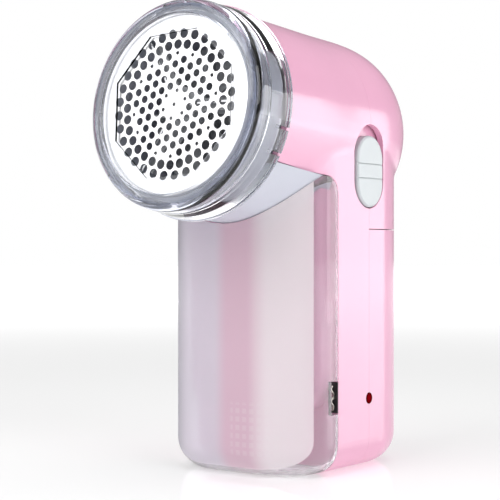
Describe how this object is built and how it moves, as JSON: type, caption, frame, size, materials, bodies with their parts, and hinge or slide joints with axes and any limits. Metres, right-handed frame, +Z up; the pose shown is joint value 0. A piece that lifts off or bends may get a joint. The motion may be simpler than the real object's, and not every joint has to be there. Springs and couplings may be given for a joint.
{
  "type": "fabric shaver",
  "caption": "Cordless fabric shaver with a perforated foil head in a clear twist ring, frosted lint bin, slide switch, charging lamp and two-part pink housing.",
  "frame": {"origin": "centre of the base of the bounding box, on the surface that the shaver stands on", "axes": "+Z up, shaving head towards -Y, switch and lamp on the +X side"},
  "size_m": [0.0666, 0.1138, 0.1453],
  "materials": {
    "clear_plastic": "clear polished plastic",
    "frosted_plastic": "frosted translucent plastic with a polished rim",
    "pale_plastic": "pale grey translucent plastic",
    "pink_plastic": "glossy pink moulded plastic",
    "white_plastic": "glossy white moulded plastic",
    "grey_plastic": "plain grey moulded plastic",
    "black_plastic": "black moulded plastic",
    "red_lamp": "clear red lamp resin",
    "foil_steel": "bright stainless foil",
    "blade_steel": "ground steel",
    "spring_steel": "spring steel",
    "plated_steel": "zinc-plated steel",
    "bronze": "sintered bronze",
    "cell_sleeve": "green shrink sleeve",
    "nickel": "nickel strip",
    "board": "green circuit board",
    "wire_red": "red wire insulation",
    "wire_black": "black wire insulation"
  },
  "bodies": {
    "housing": {"shaft_bearing": "bronze", "cutter_chamber": "pale_plastic", "motor_screws": "plated_steel", "motor_mount": "white_plastic", "motor_can": "plated_steel", "motor_end_cap": "black_plastic", "front_shell": "pink_plastic", "rear_shell": "pink_plastic", "rear_cover": "pink_plastic", "housing_screws": "plated_steel", "switch_plate": "pink_plastic", "slide_switch": "black_plastic", "bin_clips": "spring_steel", "battery_cells": "cell_sleeve", "battery_tray": "white_plastic", "battery_straps": "nickel", "circuit_board": "board", "led_lamp": "red_lamp", "charge_inlet": "black_plastic", "inlet_pins": "nickel", "lead_red": "wire_red", "lead_black": "wire_black"},
    "head_ring": {"head_ring": "clear_plastic", "foil": "foil_steel", "foil_frame": "pale_plastic"},
    "guard_cap": {"guard_cap": "clear_plastic"},
    "cutter": {"cutter_blades": "blade_steel", "cutter_hub": "grey_plastic", "cutter_spring": "spring_steel", "suction_fan": "grey_plastic", "motor_shaft": "blade_steel"},
    "switch": {"switch_slider": "white_plastic"},
    "lint_bin": {"lint_bin": "frosted_plastic"}
  },
  "joints": [
    {"name": "ring_twist", "type": "hinge", "parent": "housing", "child": "head_ring", "pos_m": [0, -0.0516, 0.1135], "axis": [0, -0.9936, 0.1132], "range_deg": [0, 18]},
    {"name": "cap_pull", "type": "slide", "parent": "head_ring", "child": "guard_cap", "axis": [0, -0.9936, 0.1132], "range_m": [0, 0.006]},
    {"name": "cutter_spin", "type": "hinge", "parent": "housing", "child": "cutter", "pos_m": [0, -0.0516, 0.1135], "axis": [0, -0.9936, 0.1132], "continuous": true},
    {"name": "switch_slide", "type": "slide", "parent": "housing", "child": "switch", "axis": [0, 0, 1], "range_m": [0, 0.0032]},
    {"name": "bin_pull", "type": "slide", "parent": "housing", "child": "lint_bin", "axis": [0, -1, 0], "range_m": [0, 0.03]}
  ]
}
